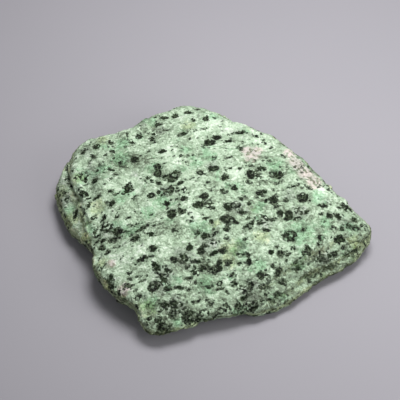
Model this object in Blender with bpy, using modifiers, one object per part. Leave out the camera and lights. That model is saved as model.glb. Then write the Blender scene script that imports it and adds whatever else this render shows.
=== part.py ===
"""A hand specimen of ruby in zoisite: one flat, kite-shaped slab of broken rock.

The slab lies on its underside. +Z is up, +X runs to its sharp right corner, and -Y is the side
that the viewer stands on. The shape is worked in millimetres and written in metres at the end.
"""

import bmesh
import bpy
import numpy as np
from mathutils import Matrix, Vector, noise

NAME = "zoisite_stone"
MM = 0.001

# The driving dimensions, in mm. The finished stone is brought to exactly this size.
LENGTH = 112.0
WIDTH = 100.0
THICKNESS = 20.0

# The kinds of wall round the slab, each from the ground up, in mm: how far in from the widest
# outline, and how high. The seven places are foot, lower wall, belly, ledge edge, ledge back,
# shoulder and rim. The wall reaches the widest outline where it is 0 in.
BACK = ((8, 1.6), (2.5, 4), (0, 9), (0.5, 12), (1, 13.5), (2, 15.5), (5, 17.5))
LOW_BACK = ((8, 1.6), (2.5, 3.5), (0, 7), (0.5, 9.5), (1, 11), (2, 12.5), (5, 14.5))
CORNER = ((5, 1.6), (1.5, 3), (0, 5), (0.5, 7), (1, 8), (1.5, 9.5), (3.5, 11.5))
SHELF = ((5, 1.6), (1.5, 3), (0, 5.5), (1.5, 9), (4.5, 10.5), (6, 14), (8.5, 16.5))
BRINK = ((7, 1.6), (3.5, 4), (1, 7), (0, 9.5), (0.3, 10.5), (0.8, 11.5), (2, 12.5))
TIP = ((9, 1.6), (4, 3), (1, 4.5), (0, 6), (0.5, 7), (1.2, 8), (3, 9))
LEDGES = ((2.5, 1.6), (0.5, 3), (0, 4.5), (2.2, 5.8), (3, 8), (6, 9.2), (8, 12.3))

# The corners and bends of the widest outline seen from above, counter-clockwise from the right
# corner: x, y and the kind of wall there.
OUTLINE = (
    (55, -2, CORNER),
    (45, 9, LOW_BACK),
    (30, 29, BACK),
    (15, 40, BACK),
    (2, 48, BACK),
    (-9, 52, BACK),
    (-22, 48, BACK),
    (-34, 39, BACK),
    (-50, 31, BACK),
    (-57, 15, SHELF),
    (-52, -1, SHELF),
    (-43, -15, BRINK),
    (-40, -26, BRINK),
    (-34, -34, BRINK),
    (-28, -39, BRINK),
    (-25, -45, TIP),
    (-17, -48, TIP),
    (3, -42, TIP),
    (19, -38, LEDGES),
    (32, -27, LEDGES),
    (47, -17, LEDGES),
    (53, -10, CORNER),
)

# How many points a ring round the slab has, the steps in which the outline is followed between
# two corners, and over how many points on each side its inward direction is read.
RING_POINTS = 160
OUTLINE_STEP = 0.05
INWARD_REACH = 5

# The crowned top plate, and the underside that sags to the flat spot it rests on.
CROWN = (-6, 6, 20.5)
CROWN_SHARES = (0.85, 0.65, 0.45, 0.25, 0.08)
SAG = (-2, -1, -1)
SAG_SHARES = (0.15, 0.4, 0.65, 0.85)
MIDDLE_EASE = 0.8

# Flat faces left where flakes broke off: a point on each, and its outward direction.
BREAKS = (
    ((-33, 22, 18.5), (-0.14, 0.06, 1)),
    ((30, -18, 14), (0.08, -0.3, 1)),
    ((22, 26, 18), (0.2, 0.22, 1)),
    ((43, 15, 8), (0.8, 0.65, -0.1)),
    ((5, 45, 7), (0.4, 1, -0.15)),
    ((-30, 41, 8), (-0.45, 1, -0.1)),
)

# Shallow hollows in the top and the walls: centre, radius, depth.
HOLLOWS = (
    ((-30, 18, 18), 9, 1.0),
    ((-16, 1, 20), 7, 0.9),
    ((8, -6, 19), 6, 0.9),
    ((14, 14, 19), 6, 0.7),
    ((-6, -28, 15), 8, 0.9),
    ((28, -4, 16), 6, 0.7),
    ((-12, -44, 9), 6, 0.8),
    ((21, -27, 12), 8, 1.0),
    ((38, -15, 12), 6, 0.7),
    ((-33, -12, 16), 6, 0.8),
)

# Grooves between layers, pressed into the top face only, which is all that stands above a height:
# width, depth, and the plan points each runs through.
TOP_FACE_FROM = THICKNESS / 2
GROOVES = (
    (2.4, 1.1, ((-46, 13), (-43, 6), (-41, -4), (-40, -13))),
    (2.0, 0.8, ((-26, 14), (-14, 9), (-6, 12))),
)

# Facets of the rough broken surface: how many, how much they tilt, the most that one rises, how
# soon one gives way to the next, and how much longer they are along the rock's grain.
FACETS = 200
FACET_TILT = 0.1
FACET_STEP = 0.5
FACET_BLEND = 0.45
GRAIN_STRETCH = 1.6
GRAIN_DIRECTION = Vector((0.95, 0.31, 0))
SEED = 7

# Uneven lumps: size across, height, and where in the pattern they start.
LUMPS = (
    (15, 0.8, 3),
    (6, 0.4, 41),
)

# The size of the cells that the form is rebuilt from, in mm, how much and how often it is then
# softened, the height above the ground below which the roughness fades, and the final triangles.
CELL = 1.0
SOFTENING = 0.5
SOFTENING_ROUNDS = 4
SMOOTH_BELOW = 2.5
TRIANGLES = 9400

# The rock's own colour, as linear red, green and blue, and how dull its broken surface is.
COLOUR = (0.33, 0.46, 0.34)
ROUGHNESS = 0.6


def clear_scene():
    for old in list(bpy.data.objects):
        bpy.data.objects.remove(old)


def closed_spline(rows, count):
    """Points at even steps along a smooth closed curve through the rows."""
    rows = np.array(rows, float)
    shares = np.arange(0.0, 1.0, OUTLINE_STEP)
    curve = []
    for i in range(len(rows)):
        before, start, end, after = (rows[(i + k) % len(rows)] for k in (-1, 0, 1, 2))
        for t in shares:
            slope = (end - before) * t
            bend = (2 * before - 5 * start + 4 * end - after) * t**2
            twist = (3 * start - before - 3 * end + after) * t**3
            curve.append((2 * start + slope + bend + twist) / 2)
    curve = np.array(curve + curve[:1])
    steps = np.hypot(*np.diff(curve[:, :2], axis=0).T)
    along = np.concatenate([[0.0], np.cumsum(steps)])
    wanted = np.arange(count) * along[-1] / count
    return np.stack([np.interp(wanted, along, column) for column in curve.T], axis=1)


def inward_directions(outline):
    """Unit directions into a counter-clockwise outline, at each of its points."""
    ahead = np.roll(outline, -INWARD_REACH, axis=0) - np.roll(outline, INWARD_REACH, axis=0)
    inward = np.stack([-ahead[:, 1], ahead[:, 0]], axis=1)
    return inward / np.linalg.norm(inward, axis=1, keepdims=True)


def drawn_in(ring, middle, share):
    """A ring at a share of its size, its height easing towards the middle's."""
    middle = np.array(middle, float)
    flat = middle[:2] + (ring[:, :2] - middle[:2]) * share
    ease = (1 - share) ** MIDDLE_EASE
    return np.column_stack([flat, ring[:, 2] + (middle[2] - ring[:, 2]) * ease])


def slab_rings():
    """Closed rings of points from the middle of the underside, round the wall, to the crown."""
    rows = [(x, y, *np.ravel(wall)) for x, y, wall in OUTLINE]
    smooth = closed_spline(rows, RING_POINTS)
    widest = smooth[:, :2]
    inward = inward_directions(widest)
    wall = []
    for place in range(len(BACK)):
        inset, height = smooth[:, 2 + 2 * place], smooth[:, 3 + 2 * place]
        wall.append(np.column_stack([widest + inward * inset[:, None], height]))
    underside = [drawn_in(wall[0], SAG, share) for share in SAG_SHARES]
    top = [drawn_in(wall[-1], CROWN, share) for share in CROWN_SHARES]
    return underside + wall + top


def lofted(rings):
    """A closed form through the rings, with a face over each end."""
    form = bmesh.new()
    loops = [[form.verts.new(point) for point in ring] for ring in rings]
    for lower, upper in zip(loops, loops[1:]):
        for i in range(RING_POINTS):
            j = (i + 1) % RING_POINTS
            form.faces.new((lower[i], lower[j], upper[j], upper[i]))
    form.faces.new(list(reversed(loops[0])))
    form.faces.new(loops[-1])
    return form


def cut_off(form, on_face, outward):
    """Cuts away all that stands beyond a plane, and closes the cut with a flat face."""
    everything = form.verts[:] + form.edges[:] + form.faces[:]
    cut = bmesh.ops.bisect_plane(
        form, geom=everything, plane_co=on_face, plane_no=outward, clear_outer=True
    )
    edges = [part for part in cut["geom_cut"] if isinstance(part, bmesh.types.BMEdge)]
    bmesh.ops.edgeloop_fill(form, edges=edges)


def apply_modifier(stone, kind, **settings):
    """Reshapes the stone's mesh with one modifier, and keeps the result as its mesh."""
    modifier = stone.modifiers.new(kind, kind)
    for setting, value in settings.items():
        setattr(modifier, setting, value)
    bpy.context.view_layer.update()
    graph = bpy.context.evaluated_depsgraph_get()
    shaped = bpy.data.meshes.new_from_object(stone.evaluated_get(graph))
    stone.modifiers.clear()
    stone.data = shaped
    shaped.name = NAME


def points_of(stone):
    points = np.empty(len(stone.data.vertices) * 3, np.float32)
    stone.data.vertices.foreach_get("co", points)
    return points.reshape(-1, 3).astype(float)


def place_points(stone, points):
    stone.data.vertices.foreach_set("co", points.astype(np.float32).ravel())
    stone.data.update()


def push_out(stone, points, rise):
    """Moves each point outwards by its rise, or inwards where that is negative."""
    outward = np.array([vertex.normal for vertex in stone.data.vertices])
    place_points(stone, points + outward * rise[:, None])


def clear_of_rest(points):
    """0 at the flat spot underneath, 1 a little way above it."""
    return np.clip(points[:, 2] / SMOOTH_BELOW, 0, 1)


def press_hollow(stone, centre, radius, depth):
    """A shallow bowl, level in its middle and at its rim."""
    points = points_of(stone)
    away = np.linalg.norm(points - np.array(centre), axis=1)
    near = np.clip(1 - away / radius, 0, 1)
    push_out(stone, points, -depth * near * near * (3 - 2 * near))


def press_groove(stone, width, depth, path):
    """A groove with straight sides, along a path seen from above."""
    points = points_of(stone)
    path = np.array(path, float)
    nearest = np.full(len(points), np.inf)
    for start, end in zip(path, path[1:]):
        run = end - start
        share = np.clip((points[:, :2] - start) @ run / (run @ run), 0, 1)
        away = points[:, :2] - start - share[:, None] * run
        nearest = np.minimum(nearest, np.linalg.norm(away, axis=1))
    near = np.clip(1 - nearest / width, 0, 1)
    push_out(stone, points, -depth * near * (points[:, 2] > TOP_FACE_FROM))


def break_into_facets(stone):
    """Small flat facets at slightly different tilts, longer along the grain of the rock."""
    points = points_of(stone)
    chance = np.random.default_rng(SEED)
    grain = np.array(GRAIN_DIRECTION.normalized())
    squeeze = np.eye(3) - np.outer(grain, grain) * (1 - 1 / GRAIN_STRETCH)
    middles = points[chance.choice(len(points), FACETS, replace=False)]
    tilts = chance.normal(0, FACET_TILT, (FACETS, 3))
    apart = points[:, None] - middles[None]
    gaps = np.linalg.norm(apart @ squeeze, axis=2)
    hold = np.exp((gaps.min(axis=1, keepdims=True) - gaps) / FACET_BLEND)
    heights = np.clip((apart * tilts[None]).sum(axis=2), -FACET_STEP, FACET_STEP)
    rise = (hold * heights).sum(axis=1) / hold.sum(axis=1)
    push_out(stone, points, rise * clear_of_rest(points))


def raise_lumps(stone, size, height, start):
    """Rounded swellings and dips all over the stone."""
    points = points_of(stone)
    offset = Vector((start, start, start))
    rise = np.array([noise.noise(Vector(point) / size + offset) for point in points])
    push_out(stone, points, height * rise * clear_of_rest(points))


def rest_on_flat_spot(stone):
    """Cuts the sagging underside off level, so that the stone rests on one flat face."""
    form = bmesh.new()
    form.from_mesh(stone.data)
    cut_off(form, (0, 0, 0), (0, 0, -1))
    form.to_mesh(stone.data)
    form.free()


def bring_to_size(stone):
    """Centres the stone over the origin and brings it to its length, width and thickness."""
    points = points_of(stone)
    low, high = points.min(axis=0), points.max(axis=0)
    middle = (low + high) / 2
    middle[2] = low[2]
    scale = np.array([LENGTH, WIDTH, THICKNESS]) / (high - low)
    place_points(stone, (points - middle) * scale)


def zoisite():
    """Pale green zoisite rock, broken and unpolished."""
    material = bpy.data.materials.new("zoisite_rock")
    material.use_nodes = True
    shader = material.node_tree.nodes["Principled BSDF"]
    shader.inputs["Base Color"].default_value = (*COLOUR, 1)
    shader.inputs["Roughness"].default_value = ROUGHNESS
    shader.inputs["Metallic"].default_value = 0
    return material


def rough_slab():
    """The lofted slab with its large flat breaks."""
    form = lofted(slab_rings())
    for on_face, outward in BREAKS:
        cut_off(form, on_face, outward)
    mesh = bpy.data.meshes.new(NAME)
    form.to_mesh(mesh)
    form.free()
    return mesh


def main():
    clear_scene()
    group = bpy.data.collections.new("ruby_in_zoisite_specimen")
    bpy.context.scene.collection.children.link(group)
    stone = bpy.data.objects.new(NAME, rough_slab())
    group.objects.link(stone)
    apply_modifier(stone, "REMESH", mode="VOXEL", voxel_size=CELL)
    for centre, radius, depth in HOLLOWS:
        press_hollow(stone, centre, radius, depth)
    for width, depth, path in GROOVES:
        press_groove(stone, width, depth, path)
    break_into_facets(stone)
    for size, height, start in LUMPS:
        raise_lumps(stone, size, height, start)
    apply_modifier(stone, "SMOOTH", factor=SOFTENING, iterations=SOFTENING_ROUNDS)
    triangles = sum(len(face.vertices) - 2 for face in stone.data.polygons)
    apply_modifier(stone, "DECIMATE", ratio=TRIANGLES / triangles)
    rest_on_flat_spot(stone)
    bring_to_size(stone)
    stone.data.transform(Matrix.Scale(MM, 4))
    stone.data.materials.append(zoisite())


if __name__ == "__main__":
    main()
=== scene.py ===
"""A hand specimen of ruby in zoisite, finished to look like the broken rock that it is.

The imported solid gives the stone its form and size. Here its surface is rebuilt finely enough to
carry chips, layers and sugary crystals, and the dark hornblende grains are set where they lie.
Lengths are in millimetres unless a name says otherwise. Angles are in degrees.
"""

import math

import bmesh
import bpy
import numpy as np
from mathutils import Matrix, Vector, noise
from mathutils.bvhtree import BVHTree


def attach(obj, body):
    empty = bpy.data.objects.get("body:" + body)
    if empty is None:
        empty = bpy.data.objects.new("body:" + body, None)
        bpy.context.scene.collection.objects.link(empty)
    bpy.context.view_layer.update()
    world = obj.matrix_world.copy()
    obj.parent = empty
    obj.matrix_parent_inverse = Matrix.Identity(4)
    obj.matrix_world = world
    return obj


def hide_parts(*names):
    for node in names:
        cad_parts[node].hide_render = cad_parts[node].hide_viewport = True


NODE = "zoisite_stone"
PIECE = "rough_zoisite_slab"
MM = 0.001

# The kinds of node that are used most.
MATH = "ShaderNodeMath"
VECTORS = "ShaderNodeVectorMath"
RANGE = "ShaderNodeMapRange"
MAPPING = "ShaderNodeMapping"
FIELD = "ShaderNodeAttribute"
NOISE = "ShaderNodeTexNoise"
CELLS = "ShaderNodeTexVoronoi"
MIX = "ShaderNodeMix"

# A colour mix's two colours and its result, by their place among its sockets.
MIX_FIRST = 6
MIX_SECOND = 7
MIXED = 2

# Where the photograph was taken from: the point it looks at, how steeply it looks down, from how
# far, and through what lens. Its pixels are counted from the top left corner.
AIM = Vector((-4.0, 7.5, 9.0))
ELEVATION = 48.0
DISTANCE = 520.0
LENS = 131.8
SENSOR = 36.0
PHOTO_SIZE = 400

# The rock's own grain runs this far round from +X. Grains and chips are longer along it.
GRAIN_TURN = 22.0

# The cells that the surface is rebuilt from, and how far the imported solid's facets are softened.
CELL = 0.52
SOFTENING = 0.5
SOFTENING_ROUNDS = 7

# The flat spot underneath stays flat: relief starts this far above it, and is full a bit higher.
RELIEF_FROM = 0.3
RELIEF_FULL_FROM = 2.0

# The relief of the broken surface. Its chips and layers have their real sizes. Its crystals would
# be about 0.3 mm across, which is too fine to show, so they are drawn coarser.
RELIEF = {
    "Chip Length": 4.5 * MM,
    "Chip Slope": 0.3,
    "Streak Width": 1.5 * MM,
    "Streak Height": 0.15 * MM,
    "Layer Thickness": 1.1 * MM,
    "Layer Height": 0.9 * MM,
    "Crystal Size": 1.3 * MM,
    "Crystal Height": 0.42 * MM,
    "Grain Dent": 0.25 * MM,
    "Grain Turn": math.radians(GRAIN_TURN),
    "Flat Below": RELIEF_FROM * MM,
    "Full Above": RELIEF_FULL_FROM * MM,
    "Seed": 0.0,
}

# How much narrower than long chips, streaks and layers are, and how soft the edges of chips and
# crystals are, from 0 to 1.
CHIP_SQUEEZE = 0.55
STREAK_SQUEEZE = 0.22
LAYER_SQUEEZE = 0.06
CHIP_SOFTNESS = 0.14
CRYSTAL_SOFTNESS = 0.3

# A chip's edge has this many bends along a chip's length, and they are this share of it deep.
CHIP_BENDS = 1.6
CHIP_BEND_DEPTH = 0.55

# Every random choice starts from this.
SEED = 11

# How far the outline of a grain or a crack wanders, the size of its bends, how much larger a grain
# is than it looks in the photograph, where its pale edge hides a part of it, and how unevenly.
RAGGED = 0.45
RAGGED_SIZE = 1.5
GROW = 1.14
GROW_UNEVEN = 0.1

# Hornblende grains as they were read in the photograph, by how far their long side is
# turned from +X: x and y of the middle in pixels, then length and width in mm.
GRAINS = {
    0: (
        (163, 117, 3.2, 1.9), (187, 112, 2.9, 1.9), (197, 109, 2.2, 1.2), (158, 124, 3.0, 2.0),
        (165, 130, 3.6, 1.0), (240, 132, 3.2, 1.4), (228, 141, 3.2, 1.4), (256, 136, 2.9, 1.3),
        (251, 165, 2.2, 1.0), (261, 168, 3.2, 1.9), (250, 174, 3.2, 4.0), (276, 174, 4.3, 3.3),
        (157, 166, 2.2, 2.9), (157, 173, 3.2, 3.4), (261, 180, 1.5, 1.0), (277, 182, 2.2, 0.8),
        (297, 185, 1.9, 1.0), (301, 187, 1.4, 1.2), (242, 212, 3.2, 1.4), (228, 219, 5.0, 4.2),
        (265, 229, 2.2, 1.2), (355, 228, 2.8, 1.8), (355, 219, 2.2, 1.4), (174, 230, 1.5, 1.0),
        (178, 287, 2.9, 1.4), (168, 288, 2.9, 1.8), (196, 261, 3.6, 1.2), (302, 197, 3.6, 3.6),
        (273, 200, 2.5, 3.8), (115, 247, 3.2, 1.0), (273, 266, 1.8, 1.9), (319, 204, 1.5, 1.1),
        (213, 168, 4.2, 2.9), (166, 203, 1.8, 1.8), (167, 208, 1.2, 1.4), (105, 155, 1.2, 1.2),
        (148, 151, 1.2, 1.2), (183, 198, 2.6, 1.6), (188, 278, 2.6, 0.9), (248, 262, 1.6, 2.9),
        (239, 263, 1.4, 1.4), (278, 294, 2.8, 1.1), (281, 282, 2.4, 1.2), (276, 246, 1.4, 1.4),
        (294, 248, 1.3, 1.6), (222, 190, 1.5, 1.5), (205, 218, 1.4, 1.4), (227, 238, 0.9, 1.6),
        (161, 303, 2.4, 1.4), (173, 302, 2.4, 1.6), (188, 321, 3.0, 2.0), (184, 317, 1.6, 1.6),
        (208, 287, 1.2, 1.2), (272, 219, 1.8, 1.8), (163, 305, 2.2, 1.8), (318, 244, 1.2, 1.0),
    ),
    25: (
        (139, 136, 2.2, 1.9), (145, 132, 1.5, 0.9), (161, 151, 2.9, 1.9), (182, 133, 3.9, 1.8),
        (204, 128, 3.2, 1.2), (216, 137, 3.2, 1.9), (209, 142, 4.6, 2.4), (231, 134, 3.2, 1.0),
        (214, 157, 1.8, 1.4), (227, 157, 2.9, 0.7), (239, 167, 1.5, 1.4), (171, 177, 3.4, 3.2),
        (164, 177, 1.9, 1.9), (96, 197, 3.4, 1.4), (128, 188, 2.9, 2.9), (123, 193, 1.8, 1.4),
        (111, 203, 2.2, 1.9), (118, 208, 1.1, 1.0), (151, 195, 3.0, 1.9), (171, 213, 3.0, 3.2),
        (181, 211, 2.5, 1.9), (222, 191, 1.5, 1.9), (234, 188, 2.2, 2.0), (241, 198, 1.6, 1.6),
        (199, 204, 4.6, 2.6), (142, 227, 4.6, 1.2), (153, 225, 2.2, 1.0), (136, 224, 2.0, 0.9),
        (113, 239, 5.0, 1.2), (101, 247, 2.5, 1.9), (107, 252, 2.5, 1.2), (135, 238, 2.9, 1.8),
        (152, 248, 2.8, 2.9), (144, 257, 2.2, 2.4), (139, 260, 2.0, 1.3), (205, 235, 2.6, 1.9),
        (198, 232, 1.8, 1.2), (214, 252, 3.4, 1.7), (223, 250, 2.2, 2.2), (264, 191, 1.9, 1.4),
        (276, 206, 2.2, 1.3), (285, 200, 1.9, 1.3), (289, 214, 2.9, 3.2), (288, 217, 3.6, 1.3),
        (304, 212, 3.6, 1.3), (324, 205, 2.2, 1.4), (329, 215, 2.4, 1.7), (320, 237, 2.2, 1.9),
        (338, 238, 3.2, 2.2), (334, 254, 2.1, 2.3), (247, 254, 1.6, 1.8), (129, 272, 1.8, 1.3),
        (156, 267, 2.2, 1.8), (202, 268, 3.3, 2.2), (215, 269, 4.8, 3.0), (228, 262, 2.8, 2.2),
        (219, 262, 2.0, 1.8), (219, 288, 2.8, 1.2), (233, 283, 2.5, 1.7), (243, 298, 2.4, 1.4),
        (260, 275, 2.4, 2.8), (238, 306, 2.5, 2.3), (197, 320, 2.2, 1.9), (209, 304, 2.2, 1.3),
        (158, 319, 3.0, 2.1), (148, 318, 2.1, 1.3), (188, 313, 2.8, 2.1), (308, 250, 2.2, 3.2),
        (110, 190, 2.2, 1.3), (116, 193, 2.2, 1.2), (133, 237, 3.6, 1.9), (142, 280, 2.8, 1.0),
        (268, 299, 1.8, 1.1), (343, 205, 2.4, 1.4), (103, 240, 2.0, 0.9), (128, 231, 1.6, 0.8),
        (88, 198, 1.6, 1.0), (211, 221, 1.4, 1.2), (271, 252, 1.6, 1.6), (355, 250, 2.6, 1.2),
    ),
    55: (
        (93, 156, 1.9, 2.4), (110, 142, 1.5, 2.2), (105, 155, 1.0, 1.4), (120, 165, 1.1, 1.7),
        (109, 168, 1.5, 2.0), (158, 183, 1.6, 2.4), (147, 178, 1.9, 1.2), (200, 172, 2.0, 2.2),
        (177, 172, 2.0, 2.2), (180, 182, 3.4, 1.2), (224, 177, 2.9, 1.6), (241, 148, 2.9, 1.6),
        (84, 194, 2.5, 2.4), (88, 204, 3.6, 1.1), (75, 214, 3.8, 1.2), (93, 217, 2.6, 1.1),
        (103, 217, 2.2, 1.3), (96, 242, 3.0, 1.1), (116, 232, 2.0, 2.2), (151, 234, 1.6, 2.2),
        (189, 247, 2.9, 2.0), (203, 245, 2.2, 1.6), (228, 206, 2.9, 3.2), (248, 226, 4.6, 2.0),
        (214, 233, 2.2, 1.3), (226, 228, 2.3, 1.8), (265, 200, 1.9, 1.4), (280, 212, 2.2, 2.2),
        (303, 229, 2.2, 1.2), (303, 252, 2.2, 1.4), (259, 222, 2.2, 1.6), (280, 253, 2.4, 1.9),
        (102, 266, 3.6, 1.1), (98, 257, 2.4, 0.8), (83, 151, 2.2, 1.2), (91, 161, 1.6, 1.0),
        (153, 263, 1.6, 1.4), (129, 279, 1.0, 1.6), (129, 286, 1.6, 2.0), (85, 249, 2.6, 1.0),
        (73, 192, 1.6, 1.0), (66, 176, 2.0, 0.8), (67, 167, 2.4, 0.8), (88, 144, 1.4, 0.8),
        (286, 235, 2.9, 2.0), (138, 297, 2.9, 2.0), (232, 274, 2.2, 1.3), (160, 311, 1.7, 1.2),
    ),
    -30: (
        (96, 146, 2.6, 2.6), (132, 142, 1.7, 1.4), (152, 139, 1.8, 1.8), (134, 159, 2.8, 2.3),
        (175, 115, 2.5, 2.2), (205, 118, 2.1, 2.2), (213, 117, 1.5, 0.9), (193, 302, 1.1, 0.9),
        (94, 180, 2.8, 2.8), (249, 182, 2.4, 1.6), (170, 189, 2.2, 2.8), (204, 195, 2.6, 2.6),
        (310, 188, 2.8, 1.1), (328, 189, 1.7, 1.8), (338, 216, 2.4, 1.7), (342, 228, 1.8, 1.4),
        (234, 221, 2.4, 2.2), (271, 252, 1.7, 1.8), (288, 254, 1.5, 2.4), (292, 232, 2.1, 1.8),
        (294, 239, 1.4, 1.3), (109, 278, 2.0, 2.6), (110, 285, 1.6, 2.6), (118, 292, 1.7, 1.7),
        (153, 286, 3.0, 4.0), (136, 307, 1.5, 2.2), (173, 259, 2.4, 2.4), (201, 251, 2.6, 2.6),
        (219, 282, 1.7, 2.2), (227, 292, 1.7, 1.2), (278, 271, 2.1, 3.4), (250, 286, 1.9, 3.0),
        (204, 218, 1.4, 1.4), (244, 238, 1.0, 1.2), (161, 326, 2.6, 2.9), (172, 314, 2.1, 2.6),
        (112, 151, 2.2, 1.2), (350, 209, 1.8, 1.6), (338, 207, 1.4, 1.2), (227, 184, 1.6, 1.2),
        (116, 174, 1.6, 1.6), (97, 171, 1.6, 1.4), (135, 210, 1.4, 0.7), (69, 184, 1.8, 1.6),
    ),
}

# Places where hornblende is broken into flakes with pale rock between them: x and y in the
# photograph's pixels, then length and width in mm.
FLAKY = (
    (84, 176, 3.0, 4.4), (106, 226, 4.2, 3.8), (118, 231, 3.4, 3.0), (180, 189, 3.4, 3.4),
    (162, 191, 3.6, 2.6), (208, 203, 2.6, 4.6), (236, 205, 3.2, 3.0), (209, 243, 4.6, 2.6),
    (183, 257, 3.6, 3.0), (163, 272, 5.0, 3.6), (162, 281, 3.2, 2.2), (257, 174, 2.8, 4.2),
    (262, 218, 4.0, 3.8), (297, 213, 4.6, 3.8), (290, 235, 4.4, 4.2), (322, 256, 4.4, 3.8),
    (325, 185, 3.4, 3.2), (345, 206, 3.8, 2.8), (350, 225, 3.4, 2.2), (364, 226, 2.6, 2.8),
    (246, 286, 4.6, 3.8), (266, 278, 3.0, 3.0), (262, 286, 2.8, 1.8), (168, 305, 3.6, 3.4),
    (179, 307, 3.6, 3.6), (187, 321, 3.4, 3.2), (203, 313, 3.8, 2.8), (224, 308, 3.6, 3.2),
    (250, 306, 4.4, 3.6), (97, 232, 2.4, 4.4), (66, 196, 2.4, 4.0), (259, 193, 2.4, 3.0),
    (190, 268, 3.4, 2.6), (196, 273, 2.6, 2.0), (340, 240, 2.8, 2.6), (128, 286, 2.2, 2.6),
)

# Broad tints of the rock, and painted shade, by name: x and y in the photograph's pixels, then reach in mm.
TINTS = {
    # Pale rock. The spots on the left side are partly painted light, lightening what the lamp leaves darker
    # there.
    "pale": (
        (170, 150, 7), (230, 130, 9), (255, 138, 8), (215, 122, 7), (240, 125, 7), (265, 145, 6),
        (183, 113, 4), (200, 130, 5), (172, 158, 6), (248, 140, 6), (285, 150, 4), (251, 156, 3),
        (130, 180, 5), (120, 188, 6), (110, 184, 5), (135, 190, 4), (192, 215, 6), (212, 150, 5),
        (120, 255, 6), (140, 250, 5), (320, 190, 4), (345, 216, 3), (322, 192, 4), (150, 205, 5),
        (235, 172, 4), (205, 290, 3), (86, 155, 3), (73, 172, 7), (77, 186, 7), (82, 198, 6),
        (97, 205, 6), (92, 212, 5), (100, 215, 5), (74, 230, 5), (84, 234, 5), (64, 190, 4),
        (66, 208, 4), (98, 258, 4), (104, 282, 3),
    ),
    "deep_green": (
        (122, 143, 5), (120, 158, 6), (208, 155, 5), (192, 157, 3), (241, 243, 4), (300, 232, 9),
        (275, 165, 5), (160, 201, 5), (177, 321, 3), (150, 303, 5), (318, 196, 5), (206, 283, 6),
        (100, 170, 5), (258, 265, 5), (186, 148, 4), (148, 213, 5), (325, 222, 5),
    ),
    "grey": (
        (112, 232, 6), (208, 245, 7), (183, 258, 7), (164, 276, 7), (175, 306, 6), (93, 168, 5),
        (236, 208, 5), (322, 256, 6), (250, 295, 6), (345, 222, 5), (290, 195, 5), (165, 190, 4),
        (265, 222, 5), (300, 212, 5), (86, 150, 4), (212, 165, 4), (160, 130, 4), (254, 284, 4),
        (160, 287, 5), (175, 305, 5), (62, 184, 6), (64, 200, 6),
    ),
    "yellow": (
        (97, 207, 5), (230, 248, 6), (228, 260, 5), (354, 242, 4), (100, 262, 4), (105, 285, 3),
        (148, 308, 5), (188, 125, 4), (102, 139, 4), (262, 236, 5), (77, 178, 4), (215, 222, 3),
        (60, 192, 5), (70, 218, 5), (84, 238, 4),
    ),
    "pink": (
        (251, 155, 5), (246, 150, 4), (256, 151, 4), (289, 153, 4), (297, 163, 6), (305, 172, 6),
        (314, 181, 5), (124, 288, 4), (110, 264, 3),
    ),
    # Painted shade, not a tint: it darkens the walls, the undercut lower front edge and the upper left
    # facet where they lie in shade.
    "painted_shade": (
        (120, 165, 6), (134, 162, 7), (145, 158, 5), (100, 165, 3), (206, 262, 6),
        (180, 262, 6), (255, 300, 8), (285, 285, 8), (320, 266, 9), (345, 255, 6), (352, 243, 8),
        (190, 312, 8), (222, 305, 7), (170, 322, 6), (150, 326, 5), (205, 322, 7), (240, 308, 6),
        (205, 288, 7), (352, 222, 7), (362, 234, 4), (300, 270, 8), (330, 270, 7), (280, 298, 9),
        (160, 328, 8), (173, 331, 8), (188, 329, 8), (241, 243, 3), (168, 228, 7), (222, 312, 7),
        (62, 192, 4), (152, 306, 4), (350, 245, 5), (315, 280, 6),
    ),
}

# Cracks, grooves and ridges, by name: how far each reaches to either side and how far it rises, in
# mm, and the pixels of the photograph that it runs through.
FORMS = {
    "groove beside the left lobe": (1.6, -1.3, ((65, 165), (66, 176), (69, 186), (73, 195), (80, 201))),
    "left ridge": (3.0, 0.9, ((74, 167), (77, 180), (81, 196))),
    "groove behind the left ridge": (1.3, -0.7, ((80, 171), (83, 182), (85, 192))),
    "groove down the left wall": (1.3, -0.7, ((80, 209), (85, 217), (90, 230), (88, 241))),
    "notch in the left edge": (2.2, -1.0, ((84, 246), (92, 253))),
    "edge of the plateau": (2.6, 0.5, ((99, 182), (120, 177), (135, 174), (158, 181))),
    "first crack in the left rim": (1.0, -0.6, ((104, 259), (101, 267), (98, 273))),
    "second crack in the left rim": (1.0, -0.6, ((99, 254), (95, 261))),
    "notch above the lower corner": (1.8, -1.0, ((128, 303), (132, 308), (138, 315))),
    "short step on top": (0.9, -0.5, ((132, 200), (136, 205), (137, 211))),
    "long fine crack on top": (0.8, -0.3, ((155, 213), (166, 219), (180, 228))),
    "open layer of the front wall": (1.1, -1.1, ((303, 279), (312, 276), (322, 271), (334, 268))),
    "layer above it": (1.0, -0.8, ((316, 267), (328, 262), (342, 254))),
    "layer near the middle": (1.2, -0.8, ((275, 282), (285, 281), (296, 278))),
    "layer below it": (1.1, -0.7, ((260, 301), (272, 299), (289, 292), (302, 286))),
    "short layer at the left": (1.0, -0.5, ((239, 299), (249, 297))),
    "lowest layer": (1.0, -0.7, ((250, 308), (272, 302), (288, 297))),
    "undercut of the front wall": (3.6, -1.3, ((206, 324), (232, 319), (252, 316), (270, 312), (284, 306))),
    "rim above the upper left facet": (4.5, 1.3, ((124, 134), (134, 131), (144, 126))),
    "upper layer of the front wall": (1.0, -0.6, ((283, 272), (300, 268), (312, 263))),
}

# A path is followed in steps of this many pixels.
PATH_STEP = 4

# What a field of grains holds far from any grain, in mm.
FIELD_FLOOR = -2.0

# Grains on the sides that the photograph doesn't show lie in clusters: how many clusters there
# are to a square centimetre, the share of flaky ones, the most grains in one, and how far apart
# they lie.
CLUSTERS_PER_CM2 = 1.3
FLAKY_SHARE = 0.3
MOST_IN_CLUSTER = 5
CLUSTER_SPREAD = 2.8

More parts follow.
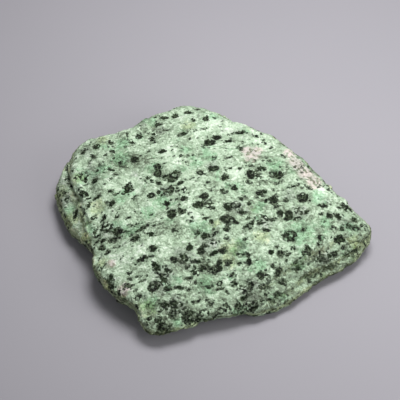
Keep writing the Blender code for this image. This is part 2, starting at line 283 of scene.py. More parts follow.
# The lengths of those grains, how much commoner short ones are, how wide they are for their
# length, and how far they are commonly turned from the rock's own grain.
SHORTEST = 1.2
LONGEST = 4.4
MOSTLY_SHORT = 1.6
NARROWEST = 0.5
BROADEST = 0.95
TURN_SPREAD = 28

# Small grains lie everywhere between the others.
SMALL_PER_CM2 = 3.5
SMALL_SHORTEST = 0.7
SMALL_LONGEST = 1.5
SMALL_TURN_SPREAD = 30

# A place counts as seen where the surface isn't turned too far from the camera, and where nothing
# else of the stone lies more than this far in front of it.
GRAZING = 0.12
SAME_PLACE = 1.0

# A wall starts where the surface faces up or down by less than this, and is full a bit steeper.
WALL_FROM = 0.82
WALL_FULL_AFTER = 0.5

# The sizes of the rock's patterns. Its sugary crystals are really about 0.3 mm across. They and
# the grit on them are drawn coarser, as coarse as they need to show.
SUGAR = 0.8
GRIT = 0.55
EDGE_GRIT = 0.45
MOTTLE = 2.4
CLOUD = 11.0
LAYER = 1.1
THIN_LAYER = 0.6
CLEAVAGE = 1.5

# The rock's colour from its darkest to its palest.
ROCK_TONES = (
    (0.0, "#3C4834"),
    (0.2, "#77846F"),
    (0.4, "#98AD92"),
    (0.58, "#B6CDB0"),
    (0.78, "#D7E7D1"),
    (0.95, "#F2FBED"),
)

# Each tint's colour, its strength, and the size in mm and spareness of the clouds of it that lie
# all round the stone.
STAINS = {
    "deep_green": ("#BDE4CB", 0.65, 9.0, 0.5),
    "grey": ("#E0D9E1", 0.8, 7.0, 0.58),
    "yellow": ("#F5F0D2", 0.65, 8.0, 0.62),
    "pink": ("#F9DDE3", 0.95, 10.0, 0.72),
    "wall": ("#DDD4BC", 0.8, 6.0, 0.68),
}

# Hornblende is black to dark green, with paler lines where it is cleaved, and painted grey
# glints that stand in for its highlights. Corundum shows pale in the pink patches.
HORNBLENDE_BLACK = "#070B04"
HORNBLENDE_GREEN = "#15220E"
PAINTED_GLINT = "#5A6850"
CLEAVED = "#74846A"
CORUNDUM = "#EADDDD"

# The share of the crystals in a flaky place that are black, and of black specks: anywhere, more
# beside a grain, and more on a wall.
BLACK_FLAKES = 0.5
SPECKS = 0.008
SPECKS_BESIDE = 0.16
SPECKS_ON_WALL = 0.04

# How much each pattern changes the rock's tone, which runs from 0 to 1.
BASE_TONE = -0.025
CLOUD_TONE = 0.45
MOTTLE_TONE = 0.58
CRYSTAL_TONE = 0.42
GRIT_TONE = 0.8
PALE_TONE = 0.2
# Painted shade darkens the places set for it this much.
PAINTED_SHADE_TONE = -0.25
BESIDE_GRAIN_TONE = -0.07
# The layers' strength also sets the painted shade that darkens every wall as a whole.
LAYERS_AND_WALL_SHADE_TONE = 1.2
THIN_LINE_TONE = -0.3

# How deep the relief is that is too fine for the mesh.
FINE_RELIEF = 0.45

# The studio: a pale board, a softbox above and behind, a weaker one in front on the right, and a
# pale room. Places, aims and sizes are in mm, and spreads in degrees.
FLOOR_HALF = 2500.0
FLOOR_DROP = 0.05
BOARD = "#9D9BA1"
BOARD_PALER = "#A09DA3"
BOARD_CLOUD = 60.0
ROOM = "#F4F4F7"

KEY_PLACE = Vector((65.0, 70.0, 390.0))
KEY_AIM = Vector((35.0, 75.0, 0.0))
KEY_SIZE = 200.0
KEY_SPREAD = 100.0
KEY_WATTS = 0.55
FILL_PLACE = Vector((220.0, -140.0, 170.0))
FILL_AIM = Vector((20.0, -20.0, 0.0))
FILL_SIZE = 200.0
FILL_SPREAD = 180.0
FILL_WATTS = 0.32
ROOM_STRENGTH = 0.29


def linear(colour):
    """An sRGB hex colour as linear red, green, blue and full alpha."""
    parts = [int(colour[i : i + 2], 16) / 255 for i in (1, 3, 5)]
    return *[p / 12.92 if p <= 0.04045 else ((p + 0.055) / 1.055) ** 2.4 for p in parts], 1.0


def per_mm(size):
    """The texture scale at which a pattern's parts are this many mm across."""
    return 1 / (size * MM)


def add(tree, kind, inputs=(), output=0, **settings):
    """Adds a node with its settings, and gives one of its outputs. An input that is a socket is
    linked, and any other is set. Inputs are named, or given in the node's own order."""
    node = tree.nodes.new(kind)
    for name, value in settings.items():
        setattr(node, name, value)
    pairs = inputs.items() if isinstance(inputs, dict) else enumerate(inputs)
    for name, value in pairs:
        if isinstance(value, bpy.types.NodeSocket):
            tree.links.new(value, node.inputs[name])
        else:
            node.inputs[name].default_value = value
    return node.outputs[output]


# Camera and the photograph's pixels


def camera_axes():
    """The directions in which the camera looks, and its right and up."""
    pitch = math.radians(ELEVATION)
    forward = Vector((0, math.cos(pitch), -math.sin(pitch)))
    right = Vector((1, 0, 0))
    return forward, right, right.cross(forward)


def make_camera():
    """A camera where the photograph's stood."""
    forward, right, up = camera_axes()
    data = bpy.data.cameras.new("camera")
    data.lens = LENS
    data.sensor_width = SENSOR
    data.clip_start = 0.01
    camera = bpy.data.objects.new("camera", data)
    bpy.context.scene.collection.objects.link(camera)
    turned = Matrix((right, up, -forward)).transposed().to_4x4()
    camera.matrix_world = Matrix.Translation((AIM - forward * DISTANCE) * MM) @ turned
    bpy.context.scene.camera = camera


def on_stone(surface, x, y):
    """The point of the stone behind a pixel of the photograph, and its outward direction."""
    forward, right, up = camera_axes()
    pixels_deep = LENS / SENSOR * PHOTO_SIZE
    aside = x + 0.5 - PHOTO_SIZE / 2
    down = y + 0.5 - PHOTO_SIZE / 2
    ray = forward * pixels_deep + right * aside - up * down
    place, outward, *_ = surface.ray_cast(AIM - forward * DISTANCE, ray.normalized())
    return place, outward


# The stone's mesh


def apply_modifier(stone, kind, **settings):
    """Reshapes the stone with one modifier, and keeps the result as its mesh."""
    modifier = stone.modifiers.new(kind, kind)
    for name, value in settings.items():
        setattr(modifier, name, value)
    keep_shaped(stone)


def keep_shaped(stone):
    """Makes what the live modifiers give the stone's plain mesh, and removes them."""
    bpy.context.view_layer.update()
    graph = bpy.context.evaluated_depsgraph_get()
    shaped = bpy.data.meshes.new_from_object(stone.evaluated_get(graph))
    stone.modifiers.clear()
    stone.data = shaped
    shaped.name = PIECE


def fine_slab(solid):
    """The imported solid's form, joined up and rebuilt in cells small enough for the relief."""
    form = bmesh.new()
    form.from_mesh(solid.data)
    bmesh.ops.remove_doubles(form, verts=form.verts, dist=1e-6)
    mesh = bpy.data.meshes.new(PIECE)
    form.to_mesh(mesh)
    form.free()
    stone = bpy.data.objects.new(PIECE, mesh)
    bpy.context.scene.collection.objects.link(stone)
    apply_modifier(stone, "REMESH", mode="VOXEL", voxel_size=CELL * MM)
    apply_modifier(stone, "SMOOTH", factor=SOFTENING, iterations=SOFTENING_ROUNDS)
    return stone


def chips(tree, sizes, wandering):
    """Each chip is a flat face that leans its own way, so its edges stand as small steps."""
    scale = add(tree, MATH, (1.0, sizes["Chip Length"]), operation="DIVIDE")
    cells = {"Vector": wandering, "Scale": scale, "Smoothness": CHIP_SOFTNESS}
    colour = add(tree, CELLS, cells, output="Color", feature="SMOOTH_F1")
    middle = colour.node.outputs["Position"]
    lean = add(tree, VECTORS, (colour, (0.5, 0.5, 0.5)), operation="SUBTRACT")
    apart = add(tree, VECTORS, (wandering, middle), operation="SUBTRACT")
    rise = add(tree, VECTORS, (lean, apart), output="Value", operation="DOT_PRODUCT")
    return add(tree, MATH, (rise, sizes["Chip Slope"]), operation="MULTIPLY")


def streaks(tree, sizes, along):
    """Fine streaks follow the rock's grain."""
    drawn_out = add(tree, VECTORS, (along, (STREAK_SQUEEZE, 1.0, 1.0)), operation="MULTIPLY")
    scale = add(tree, MATH, (1.0, sizes["Streak Width"]), operation="DIVIDE")
    noise_of = {"Vector": drawn_out, "Scale": scale, "Detail": 4.0, "Roughness": 0.6}
    level = add(tree, MATH, (add(tree, NOISE, noise_of), 0.5), operation="SUBTRACT")
    return add(tree, MATH, (level, sizes["Streak Height"]), operation="MULTIPLY")


def layers(tree, sizes, place, upright):
    """Layers lie flat through the slab, so they show as lines along its walls."""
    squeeze = (LAYER_SQUEEZE, LAYER_SQUEEZE, 1.0)
    level = add(tree, VECTORS, (place, squeeze), operation="MULTIPLY")
    scale = add(tree, MATH, (1.0, sizes["Layer Thickness"]), operation="DIVIDE")
    noise_of = {"Vector": level, "Scale": scale, "Detail": 3.0, "Roughness": 0.7}
    rise = add(tree, MATH, (add(tree, NOISE, noise_of), 0.5), operation="SUBTRACT")
    rise = add(tree, MATH, (rise, sizes["Layer Height"]), operation="MULTIPLY")
    return add(tree, MATH, (rise, upright), operation="MULTIPLY")


def crystals(tree, sizes, place):
    """Crystals are rounded bumps of the sugary rock."""
    scale = add(tree, MATH, (1.0, sizes["Crystal Size"]), operation="DIVIDE")
    cells = {"Vector": place, "Scale": scale, "Smoothness": CRYSTAL_SOFTNESS}
    far = add(tree, CELLS, cells, output="Distance", feature="SMOOTH_F1")
    rise = add(tree, MATH, (0.5, far), operation="SUBTRACT")
    return add(tree, MATH, (rise, sizes["Crystal Height"]), operation="MULTIPLY")


def dents(tree, sizes):
    """Hornblende breaks out more easily than zoisite, so its grains lie a little lower."""
    field = {"Name": "hornblende"}
    inside = add(tree, "GeometryNodeInputNamedAttribute", field, data_type="FLOAT")
    share = add(tree, RANGE, (inside, -0.2, 0.4), interpolation_type="SMOOTHSTEP")
    depth = add(tree, MATH, (sizes["Grain Dent"], -1.0), operation="MULTIPLY")
    return add(tree, MATH, (share, depth), operation="MULTIPLY")


def relief_tree():
    """Raises a broken rock's relief on a surface: chips, layers along its walls, and crystals."""
    tree = bpy.data.node_groups.new("broken_rock_relief", "GeometryNodeTree")
    tree.interface.new_socket("Geometry", in_out="INPUT", socket_type="NodeSocketGeometry")
    for name in RELIEF:
        tree.interface.new_socket(name, in_out="INPUT", socket_type="NodeSocketFloat")
    tree.interface.new_socket("Finish", in_out="INPUT", socket_type="NodeSocketMaterial")
    tree.interface.new_socket("Geometry", in_out="OUTPUT", socket_type="NodeSocketGeometry")
    sizes = add(tree, "NodeGroupInput").node.outputs
    position = add(tree, "GeometryNodeInputPosition")
    outward = add(tree, "GeometryNodeInputNormal")
    place = add(tree, VECTORS, (position, sizes["Seed"]), operation="ADD")

    # Chips and streaks come out longer along the rock's grain, and their edges wander.
    back = add(tree, MATH, (sizes["Grain Turn"], -1.0), operation="MULTIPLY")
    turned = {"Vector": place, "Angle": back}
    along = add(tree, "ShaderNodeVectorRotate", turned, rotation_type="Z_AXIS")
    drawn_out = add(tree, VECTORS, (along, (CHIP_SQUEEZE, 1.0, 1.0)), operation="MULTIPLY")
    scale = add(tree, MATH, (CHIP_BENDS, sizes["Chip Length"]), operation="DIVIDE")
    noise_of = {"Vector": drawn_out, "Scale": scale, "Detail": 3.0}
    wander = add(tree, NOISE, noise_of, output="Color")
    wander = add(tree, VECTORS, (wander, (0.5, 0.5, 0.5)), operation="SUBTRACT")
    reach = add(tree, MATH, (sizes["Chip Length"], CHIP_BEND_DEPTH), operation="MULTIPLY")
    wander = add(tree, VECTORS, {0: wander, "Scale": reach}, operation="SCALE")
    wandering = add(tree, VECTORS, (drawn_out, wander), operation="ADD")
    bent = add(tree, VECTORS, (place, wander), operation="ADD")

    up = add(tree, VECTORS, (outward, (0.0, 0.0, 1.0)), output="Value", operation="DOT_PRODUCT")
    upright = add(tree, MATH, (1.0, add(tree, MATH, (up,), operation="ABSOLUTE")), operation="SUBTRACT")
    rise = chips(tree, sizes, wandering)
    for more in (
        streaks(tree, sizes, along),
        layers(tree, sizes, bent, upright),
        crystals(tree, sizes, place),
        dents(tree, sizes),
    ):
        rise = add(tree, MATH, (rise, more), operation="ADD")

    height = add(tree, "ShaderNodeSeparateXYZ", (position,), output="Z")
    share = add(tree, RANGE, (height, sizes["Flat Below"], sizes["Full Above"]))
    rise = add(tree, MATH, (rise, share), operation="MULTIPLY")
    offset = add(tree, VECTORS, {0: outward, "Scale": rise}, operation="SCALE")
    moved = {"Geometry": sizes["Geometry"], "Offset": offset}
    shape = add(tree, "GeometryNodeSetPosition", moved)
    shape = add(tree, "GeometryNodeRealizeInstances", (shape,))
    finished = {"Geometry": shape, "Material": sizes["Finish"]}
    shape = add(tree, "GeometryNodeSetMaterial", finished)
    tree.links.new(shape, tree.nodes.new("NodeGroupOutput").inputs["Geometry"])
    return tree


def raise_relief(stone, finish):
    """Gives the stone its relief and its material."""
    tree = relief_tree()
    modifier = stone.modifiers.new("relief", "NODES")
    modifier.node_group = tree
    wanted = {**RELIEF, "Finish": finish}
    for socket in tree.interface.items_tree:
        if socket.in_out == "INPUT" and socket.name in wanted:
            modifier[socket.identifier] = wanted[socket.name]
    keep_shaped(stone)


def along_path(path):
    """Pixels a short step apart along a path through the photograph."""
    for (x, y), (next_x, next_y) in zip(path, path[1:]):
        steps = max(1, round(math.hypot(next_x - x, next_y - y) / PATH_STEP))
        for step in range(steps):
            share = step / steps
            yield x + (next_x - x) * share, y + (next_y - y) * share
    yield path[-1]


def press_forms(stone, surface):
    """Presses in each crack and groove, and raises each ridge, where the photograph shows it."""
    points = points_of(stone)
    outward = np.empty(len(stone.data.vertices) * 3, np.float32)
    stone.data.vertices.foreach_get("normal", outward)
    outward = outward.reshape(-1, 3)
    rise = np.zeros(len(points))
    ragged = wandered(points)
    for reach, height, path in FORMS.values():
        places = [on_stone(surface, x, y)[0] for x, y in along_path(path)]
        places = [np.array(place) for place in places if place is not None]
        near = np.full(len(points), np.inf)
        for start, end in zip(places, places[1:]):
            run = end - start
            share = np.clip((ragged - start) @ run / (run @ run), 0, 1)[:, None]
            near = np.minimum(near, np.linalg.norm(ragged - start - share * run, axis=1))
        rise += height * np.clip(1 - (near / reach) ** 2, 0, 1) ** 2
    moved = (points + outward * rise[:, None]) * MM
    stone.data.vertices.foreach_set("co", moved.astype(np.float32).ravel())
    stone.data.update()


# What lies where in the rock


def points_of(stone):
    """The mesh's points, in mm."""
    points = np.empty(len(stone.data.vertices) * 3, np.float32)
    stone.data.vertices.foreach_get("co", points)
    return points.reshape(-1, 3).astype(float) / MM


def surface_of(stone):
    """The stone's surface in mm, for finding what a ray meets."""
    corners = [tuple(point) for point in points_of(stone)]
    faces = [tuple(face.vertices) for face in stone.data.polygons]
    return BVHTree.FromPolygons(corners, faces)


def wandered(points):
    """The points, each moved a little by noise, so that what is drawn on them is ragged."""
    noise.seed_set(SEED)
    moves = np.array([noise.noise_vector(Vector(point) / RAGGED_SIZE) for point in points])
    return points + RAGGED * moves


def egg(points, place, outward, length, width, turn):
    """How far inside an egg-shaped grain each point is, in mm. It is negative outside."""
    turn = math.radians(turn)
    along = Vector((math.cos(turn), math.sin(turn), 0))
    along = (along - outward * along.dot(outward)).normalized()
    across = outward.cross(along)
    apart = points - np.array(place)
    half = np.array((length / 2, width / 2, width / 2))
    shares = np.stack([apart @ np.array(way) for way in (along, across, outward)], axis=1) / half
    return (1 - np.linalg.norm(shares, axis=1)) * min(length, width) / 2


def write_field(stone, name, values):
    """Keeps one number for each point of the stone, for its relief and its material to read."""
    field = stone.data.attributes.new(name, "FLOAT", "POINT")
    field.data.foreach_set("value", values.astype(np.float32))


def seen(surface, point, outward):
    """Whether the photograph's camera sees this point of the surface."""
    forward, *_ = camera_axes()
    eye = AIM - forward * DISTANCE
    ray = (point - eye).normalized()
    if outward.dot(ray) > -GRAZING:
        return False
    place, *_ = surface.ray_cast(eye, ray)
    return place is not None and (place - point).length < SAME_PLACE


def scattered(stone, chance, per_cm2):
    """Seeded places all over the stone, each with its outward direction."""
    faces = stone.data.polygons
    areas = np.array([face.area for face in faces]) / MM**2
    count = int(areas.sum() / 100 * per_cm2)
    for index in chance.choice(len(faces), count, p=areas / areas.sum()):
        yield faces[index].center / MM, faces[index].normal.copy()


def hidden_grains(stone, surface, chance):
    """Clusters of grains all over the sides that the camera doesn't see."""
    for middle, _ in scattered(stone, chance, CLUSTERS_PER_CM2):
        flaky = chance.uniform() < FLAKY_SHARE
        for _ in range(chance.integers(1, MOST_IN_CLUSTER + 1)):
            aside = Vector(chance.normal(0, CLUSTER_SPREAD, 3))
            length = SHORTEST + (LONGEST - SHORTEST) * chance.uniform() ** MOSTLY_SHORT
            width = length * chance.uniform(NARROWEST, BROADEST)
            turn = chance.normal(GRAIN_TURN, TURN_SPREAD)
            place, outward, *_ = surface.find_nearest(middle + aside)
            if not seen(surface, place, outward):
                yield place, outward, length, width, turn, flaky


def mark_hornblende(stone, surface, points):
    """How far inside a grain of hornblende each point is, in whole grains and in flaky ones."""
    ragged = wandered(points)
    chance = np.random.default_rng(SEED)
    grains = np.full(len(points), FIELD_FLOOR)
    flaky = np.full(len(points), FIELD_FLOOR)
    for turn, rows in GRAINS.items():
        for x, y, length, width in rows:
            place, outward = on_stone(surface, x, y)
            if place is not None:
                grow = GROW * chance.uniform(1 - GROW_UNEVEN, 1 + GROW_UNEVEN)
                field = egg(ragged, place, outward, length * grow, width * grow, turn)
                grains = np.maximum(grains, field)
    for x, y, length, width in FLAKY:
        place, outward = on_stone(surface, x, y)
        if place is not None:
            field = egg(ragged, place, outward, length * GROW, width * GROW, GRAIN_TURN)
            flaky = np.maximum(flaky, field)
    for place, outward, length, width, turn, is_flaky in hidden_grains(stone, surface, chance):
        field = egg(ragged, place, outward, length, width, turn)
        if is_flaky:
            flaky = np.maximum(flaky, field)
        else:
            grains = np.maximum(grains, field)
    for place, outward in scattered(stone, chance, SMALL_PER_CM2):
        length = chance.uniform(SMALL_SHORTEST, SMALL_LONGEST)
        turn = chance.normal(GRAIN_TURN, SMALL_TURN_SPREAD)
        width = length * chance.uniform(NARROWEST, 1)
        field = egg(ragged, place, outward, length, width, turn)
        grains = np.maximum(grains, field)
    write_field(stone, "hornblende", grains)
    write_field(stone, "flaky", flaky)


def mark_tints(stone, surface, points):
    """How strongly each broad tint, and the painted shade, shows at each point, from 0 to 1."""
    for name, rows in TINTS.items():
        tint = np.zeros(len(points))
        for x, y, reach in rows:
            place, _ = on_stone(surface, x, y)
            if place is None:
                continue
            near = np.clip(1 - np.linalg.norm(points - np.array(place), axis=1) / reach, 0, 1)
            tint = np.maximum(tint, near * near * (3 - 2 * near))
        write_field(stone, name, tint)


def mark_walls(stone):
    """How steeply each place of the slab stands, from 0 on its flats to 1 on its walls."""
    outward = np.empty(len(stone.data.vertices) * 3, np.float32)
    stone.data.vertices.foreach_get("normal", outward)
    level = np.abs(outward.reshape(-1, 3)[:, 2])
    steep = np.clip((WALL_FROM - level) / WALL_FULL_AFTER, 0, 1)
    write_field(stone, "wall", steep)


# Materials


def rock_tone(tree, place, mottle, grit, crystal):
    """How pale the rock between the grains is, from 0 to 1, with painted light and shade laid in."""
    # Pale rock, and on the left side partly painted light.
    field = add(tree, FIELD, output="Fac", attribute_name="pale")
    patchy = add(tree, RANGE, (mottle, 0.25, 0.5, 0.4, 1.0), interpolation_type="SMOOTHSTEP")
    pale = add(tree, MATH, (field, patchy), operation="MULTIPLY")

    # Each crystal has its own tone, and grit breaks it up. The palest rock is the most even.
    own = add(tree, MATH, (crystal, -0.5), operation="ADD")
    own = add(tree, MATH, (own, CRYSTAL_TONE), operation="MULTIPLY")
    gritty = add(tree, MATH, (grit, -0.5), operation="ADD")
    speckle = add(tree, MATH, (gritty, GRIT_TONE, own), operation="MULTIPLY_ADD")
    evenness = add(tree, MATH, (pale, -0.4, 1.0), operation="MULTIPLY_ADD")
    speckle = add(tree, MATH, (speckle, evenness), operation="MULTIPLY")

    clouds = {"Vector": place, "Scale": per_mm(CLOUD), "Detail": 3.0, "Roughness": 0.55}
    cloudy = (add(tree, NOISE, clouds), CLOUD_TONE, BASE_TONE)
    tone = add(tree, MATH, cloudy, operation="MULTIPLY_ADD")
    tone = add(tree, MATH, (mottle, MOTTLE_TONE, tone), operation="MULTIPLY_ADD")
    tone = add(tree, MATH, (speckle, tone), operation="ADD")
    tone = add(tree, MATH, (pale, PALE_TONE, tone), operation="MULTIPLY_ADD")
    # Painted shade, where the stone lies in shade at the places set for it.
    painted_shade = add(tree, FIELD, output="Fac", attribute_name="painted_shade")
    tone = add(tree, MATH, (painted_shade, PAINTED_SHADE_TONE, tone), operation="MULTIPLY_ADD")

    # Rock next to a grain is a little darker.
    grains = add(tree, FIELD, output="Fac", attribute_name="hornblende")
    beside = (grains, -0.8, 0.1, 0.0, BESIDE_GRAIN_TONE)
    beside = add(tree, RANGE, beside, interpolation_type="SMOOTHSTEP")
    tone = add(tree, MATH, (tone, beside), operation="ADD")
    return layered_tone(tree, place, tone)


def layered_tone(tree, place, tone):
    """Draws level layers and thin dark lines between them along the slab's walls, and darkens the walls as
    a whole with painted shade.
    """
    level = add(tree, MAPPING, {"Vector": place, "Scale": (0.12, 0.12, 1.0)})
    thick = {"Vector": level, "Scale": per_mm(LAYER), "Detail": 3.0, "Roughness": 0.65}
    # Layers, offset so that every wall comes out darker as a whole: painted shade.
    shade = (add(tree, NOISE, thick), LAYERS_AND_WALL_SHADE_TONE, -0.6 * LAYERS_AND_WALL_SHADE_TONE)
    shade = add(tree, MATH, shade, operation="MULTIPLY_ADD")
    thin = {"Vector": level, "Scale": per_mm(THIN_LAYER), "Detail": 2.0, "Roughness": 0.6}
    line = (add(tree, NOISE, thin), 0.55, 0.68, 0.03, THIN_LINE_TONE)
    line = add(tree, RANGE, line, interpolation_type="SMOOTHSTEP")
    shade = add(tree, MATH, (shade, line), operation="ADD")
    wall = add(tree, FIELD, output="Fac", attribute_name="wall")
    return add(tree, MATH, (wall, shade, tone), operation="MULTIPLY_ADD")


def stained(tree, rock, name, place, mottle, crystal):
    """Lays one tint over the rock, where the photograph shows it and in clouds of its own. It is
    broken up by the mottling and the crystals, so that it has no smooth edge."""
    colour, strength, size, spare = STAINS[name]
    elsewhere = add(tree, MAPPING, {"Vector": place, "Location": (size * MM, 0.0, size)})
    clouds = {"Vector": elsewhere, "Scale": per_mm(size), "Detail": 3.0}
    wild = (add(tree, NOISE, clouds), spare, spare + 0.2, 0.0, 0.7)
    wild = add(tree, RANGE, wild, interpolation_type="SMOOTHSTEP")
    share = add(tree, FIELD, output="Fac", attribute_name=name)
    share = add(tree, MATH, (share, wild), operation="MAXIMUM")
    uneven = add(tree, MATH, (mottle, 1.6, -0.8), operation="MULTIPLY_ADD")
    uneven = add(tree, MATH, (crystal, 0.6, uneven), operation="MULTIPLY_ADD")
    uneven = add(tree, MATH, (uneven, -0.3), operation="ADD")
    spread = add(tree, RANGE, (share, 0.0, 0.25), interpolation_type="SMOOTHSTEP")
    share = add(tree, MATH, (uneven, spread, share), operation="MULTIPLY_ADD")
    share = add(tree, RANGE, (share, 0.05, 0.9), interpolation_type="SMOOTHSTEP")
    share = add(tree, MATH, (share, strength), operation="MULTIPLY")
    layer = {0: share, MIX_FIRST: rock, MIX_SECOND: linear(colour)}
    return add(tree, MIX, layer, output=MIXED, data_type="RGBA", blend_type="MULTIPLY")


def gritty_edge(tree, place):
    """How far grit pushes a grain's edge in and out, in mm."""
    fine = {"Vector": place, "Scale": per_mm(EDGE_GRIT), "Detail": 2.0, "Roughness": 0.7}
    return add(tree, MATH, (add(tree, NOISE, fine), 1.3, -0.65), operation="MULTIPLY_ADD")


def hornblende_share(tree, bend, second, third):
    """Where the rock is hornblende. Crystals are black or not, so a grain's edge is ragged."""
    grains = add(tree, FIELD, output="Fac", attribute_name="hornblende")
    grains = add(tree, MATH, (grains, bend), operation="ADD")
    solid = add(tree, RANGE, (grains, -0.05, 0.05), interpolation_type="SMOOTHSTEP")
    bare = add(tree, RANGE, (second, 0.92, 0.93, 1.0, 0.45), interpolation_type="SMOOTHSTEP")
    solid = add(tree, MATH, (solid, bare), operation="MULTIPLY")

    # Where a grain is broken into flakes, every other crystal is black.
    flaky = add(tree, FIELD, output="Fac", attribute_name="flaky")
    ragged = add(tree, MATH, (flaky, bend), operation="ADD")
    inside = add(tree, RANGE, (ragged, -0.05, 0.05), interpolation_type="SMOOTHSTEP")
    kept = (second, BLACK_FLAKES - 0.02, BLACK_FLAKES + 0.02, 1.0, 0.0)
    kept = add(tree, RANGE, kept, interpolation_type="SMOOTHSTEP")
    flakes = add(tree, MATH, (inside, kept), operation="MULTIPLY")

    # Single black specks lie everywhere, more of them near grains and flakes and on the walls.
    close = add(tree, MATH, (grains, -0.1), operation="ADD")
    close = add(tree, MATH, (flaky, close), operation="MAXIMUM")
    peppered = (close, -1.0, 0.0, SPECKS, SPECKS_BESIDE)
    peppered = add(tree, RANGE, peppered, interpolation_type="SMOOTHSTEP")
    wall = add(tree, FIELD, output="Fac", attribute_name="wall")
    peppered = add(tree, MATH, (wall, SPECKS_ON_WALL, peppered), operation="MULTIPLY_ADD")
    over = add(tree, MATH, (third, peppered), operation="SUBTRACT")
    specks = add(tree, RANGE, (over, 0.0, 0.02, 0.85, 0.0), interpolation_type="SMOOTHSTEP")
    black = add(tree, MATH, (solid, flakes), operation="MAXIMUM")
    return add(tree, MATH, (black, specks), operation="MAXIMUM")


def hornblende_colour(tree, grain, grit, mottle, first, third):
    """Greenish black crystals with painted grey glints for highlights, and paler lines where they are
    cleaved.
    """
    green = add(tree, RANGE, (first, 0.45, 0.8), interpolation_type="SMOOTHSTEP")
    body = {0: green, MIX_FIRST: linear(HORNBLENDE_BLACK), MIX_SECOND: linear(HORNBLENDE_GREEN)}
    black = add(tree, MIX, body, output=MIXED, data_type="RGBA")
    # Painted highlight: grey glints on some crystals where the grit is high.
    highlight_grit = add(tree, RANGE, (grit, 0.52, 0.68), interpolation_type="SMOOTHSTEP")
    own = add(tree, RANGE, (third, 0.2, 0.8, 0.35, 1.0), interpolation_type="SMOOTHSTEP")
    painted_glint = add(tree, MATH, (highlight_grit, own), operation="MULTIPLY")
    painted_glints = {0: painted_glint, MIX_FIRST: black, MIX_SECOND: linear(PAINTED_GLINT)}
    black = add(tree, MIX, painted_glints, output=MIXED, data_type="RGBA")
    cells = {"Vector": grain, "Scale": per_mm(CLEAVAGE)}
    edge = add(tree, CELLS, cells, output="Distance", feature="DISTANCE_TO_EDGE")
    line = add(tree, RANGE, (edge, 0.02, 0.1, 0.6, 0.0), interpolation_type="SMOOTHSTEP")
    some = add(tree, RANGE, (mottle, 0.46, 0.6), interpolation_type="SMOOTHSTEP")
    cleaved = add(tree, MATH, (line, some), operation="MULTIPLY")
    lined = {0: cleaved, MIX_FIRST: black, MIX_SECOND: linear(CLEAVED)}
    return add(tree, MIX, lined, output=MIXED, data_type="RGBA")


def zoisite_rock():
    """Zoisite rock with hornblende, freshly broken: sugary, dull and pale green, with grains of
    glossier black. Its colour changes from crystal to crystal, so it glitters a little."""
    material = bpy.data.materials.new("broken_zoisite_rock")
    material.use_nodes = True
    tree = material.node_tree
    shader = tree.nodes["Principled BSDF"]
    place = add(tree, "ShaderNodeTexCoord", output="Object")

    # Crystals, mottling and grit, which all of the rock's colours share. The crystals are drawn
    # out along the rock's grain, and each has three random numbers of its own.
    turned = {"Vector": place, "Rotation": (0, 0, -math.radians(GRAIN_TURN)), "Scale": (0.88, 1, 1)}
    grain = add(tree, MAPPING, turned)
    cells = {"Vector": grain, "Scale": per_mm(SUGAR)}
    own_colour = add(tree, CELLS, cells, output="Color")
    from_middle = own_colour.node.outputs["Distance"]
    first = add(tree, "ShaderNodeSeparateColor", (own_colour,))
    second = first.node.outputs[1]
    third = first.node.outputs[2]
    gritty = {"Vector": place, "Scale": per_mm(GRIT), "Detail": 2.0, "Roughness": 0.7}
    grit = add(tree, NOISE, gritty)
    mottled = {"Vector": grain, "Scale": per_mm(MOTTLE), "Detail": 4.0, "Roughness": 0.55}
    mottle = add(tree, NOISE, mottled)

    ramp = add(tree, "ShaderNodeValToRGB", (rock_tone(tree, place, mottle, grit, first),))
    elements = ramp.node.color_ramp.elements
    while len(elements) < len(ROCK_TONES):
        elements.new(1.0)
    for element, (at, colour) in zip(elements, ROCK_TONES):
        element.position = at
        element.color = linear(colour)
    rock = ramp
    for name in STAINS:
        rock = stained(tree, rock, name, place, mottle, second)

    # In the pink patches many crystals are corundum, which is paler than the tint over them.
    pink = add(tree, FIELD, output="Fac", attribute_name="pink")
    near = add(tree, RANGE, (pink, 0.1, 0.8), interpolation_type="SMOOTHSTEP")
    some = add(tree, RANGE, (first, 0.15, 0.5, 0.0, 0.5), interpolation_type="SMOOTHSTEP")
    corundum = add(tree, MATH, (near, some), operation="MULTIPLY")
    washed = {0: corundum, MIX_FIRST: rock, MIX_SECOND: linear(CORUNDUM)}
    rock = add(tree, MIX, washed, output=MIXED, data_type="RGBA")

    wavy = {"Vector": place, "Scale": per_mm(SUGAR), "Detail": 3.0, "Roughness": 0.55}
    bend = add(tree, MATH, (add(tree, NOISE, wavy), 1.1, -0.7), operation="MULTIPLY_ADD")
    bend = add(tree, MATH, (first, 0.3, bend), operation="MULTIPLY_ADD")
    bend = add(tree, MATH, (gritty_edge(tree, place), bend), operation="ADD")
    dark = hornblende_share(tree, bend, second, third)
    black = hornblende_colour(tree, grain, grit, mottle, first, third)
    both = {0: dark, MIX_FIRST: rock, MIX_SECOND: black}
    colour = add(tree, MIX, both, output=MIXED, data_type="RGBA")
    tree.links.new(colour, shader.inputs["Base Color"])

    # Broken zoisite is dull, and hornblende a little glossier. Light sinks into the sugary
    # surface, so it shines far less than a polished one.
    dull = add(tree, RANGE, (first, 0.0, 1.0, 0.5, 0.75), interpolation_type="SMOOTHSTEP")
    roughness = add(tree, MATH, (dark, -0.12, dull), operation="MULTIPLY_ADD")
    tree.links.new(roughness, shader.inputs["Roughness"])
    shader.inputs["IOR"].default_value = 1.69
    shader.inputs["Specular IOR Level"].default_value = 0.08

    # Crystals and a rough grit on them stand out a little from the mesh.
    lumpy = {"Vector": place, "Scale": per_mm(1.5 * SUGAR), "Detail": 3.0, "Roughness": 0.55}
    height = add(tree, MATH, (from_middle, -0.6, grit), operation="MULTIPLY_ADD")
    height = add(tree, MATH, (add(tree, NOISE, lumpy), height), operation="ADD")
    bumps = {"Strength": 0.9, "Distance": FINE_RELIEF * MM, "Height": height}
    tree.links.new(add(tree, "ShaderNodeBump", bumps), shader.inputs["Normal"])
    return material


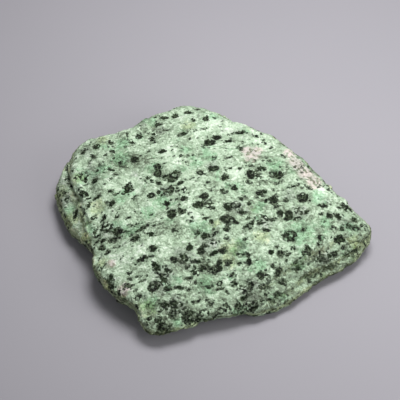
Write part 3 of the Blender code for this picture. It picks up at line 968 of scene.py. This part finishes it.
def studio_floor_paint():
    """Pale grey matt board, with the faintest unevenness of its paint."""
    material = bpy.data.materials.new("pale_grey_board")
    material.use_nodes = True
    tree = material.node_tree
    shader = tree.nodes["Principled BSDF"]
    place = add(tree, "ShaderNodeTexCoord", output="Object")
    cloud = add(tree, NOISE, {"Vector": place, "Scale": per_mm(BOARD_CLOUD)})
    paint = {0: cloud, MIX_FIRST: linear(BOARD), MIX_SECOND: linear(BOARD_PALER)}
    tree.links.new(add(tree, MIX, paint, output=MIXED, data_type="RGBA"), shader.inputs["Base Color"])
    shader.inputs["Roughness"].default_value = 0.85
    return material


# The studio


def lay_floor():
    """A pale board, much wider than the picture, just under the stone's flat spot."""
    mesh = bpy.data.meshes.new("studio_floor")
    half = FLOOR_HALF * MM
    low = -FLOOR_DROP * MM
    corners = [(-half, -half, low), (half, -half, low), (half, half, low), (-half, half, low)]
    mesh.from_pydata(corners, [], [(0, 1, 2, 3)])
    mesh.materials.append(studio_floor_paint())
    floor = bpy.data.objects.new("studio_floor", mesh)
    bpy.context.scene.collection.objects.link(floor)


def soft_lamp(name, place, aim, size, spread, watts):
    """A square softbox, with its place, aim and size in mm and its spread in degrees."""
    data = bpy.data.lights.new(name, "AREA")
    data.size = size * MM
    data.spread = math.radians(spread)
    data.energy = watts
    lamp = bpy.data.objects.new(name, data)
    lamp.location = place * MM
    lamp.rotation_euler = (aim - place).to_track_quat("-Z", "Y").to_euler()
    bpy.context.scene.collection.objects.link(lamp)


def light_studio():
    """Both softboxes and the room."""
    soft_lamp("soft_key", KEY_PLACE, KEY_AIM, KEY_SIZE, KEY_SPREAD, KEY_WATTS)
    soft_lamp("soft_fill", FILL_PLACE, FILL_AIM, FILL_SIZE, FILL_SPREAD, FILL_WATTS)
    world = bpy.data.worlds.new("pale_room")
    world.use_nodes = True
    background = world.node_tree.nodes["Background"]
    background.inputs["Color"].default_value = linear(ROOM)
    background.inputs["Strength"].default_value = ROOM_STRENGTH
    bpy.context.scene.world = world
    bpy.context.scene.view_settings.view_transform = "Standard"


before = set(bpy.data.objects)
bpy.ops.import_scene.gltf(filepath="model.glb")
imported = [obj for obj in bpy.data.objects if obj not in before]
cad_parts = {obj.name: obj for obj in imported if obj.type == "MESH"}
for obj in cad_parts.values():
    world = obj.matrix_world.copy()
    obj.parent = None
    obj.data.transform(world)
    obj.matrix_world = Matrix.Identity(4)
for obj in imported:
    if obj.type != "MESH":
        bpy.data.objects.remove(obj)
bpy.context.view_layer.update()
make_camera()
stone = fine_slab(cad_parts[NODE])
surface = surface_of(stone)
points = points_of(stone)
mark_hornblende(stone, surface, points)
mark_tints(stone, surface, points)
mark_walls(stone)
press_forms(stone, surface)
raise_relief(stone, zoisite_rock())
for face in stone.data.polygons:
    face.use_smooth = True
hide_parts(NODE)
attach(stone, "root")
lay_floor()
light_studio()
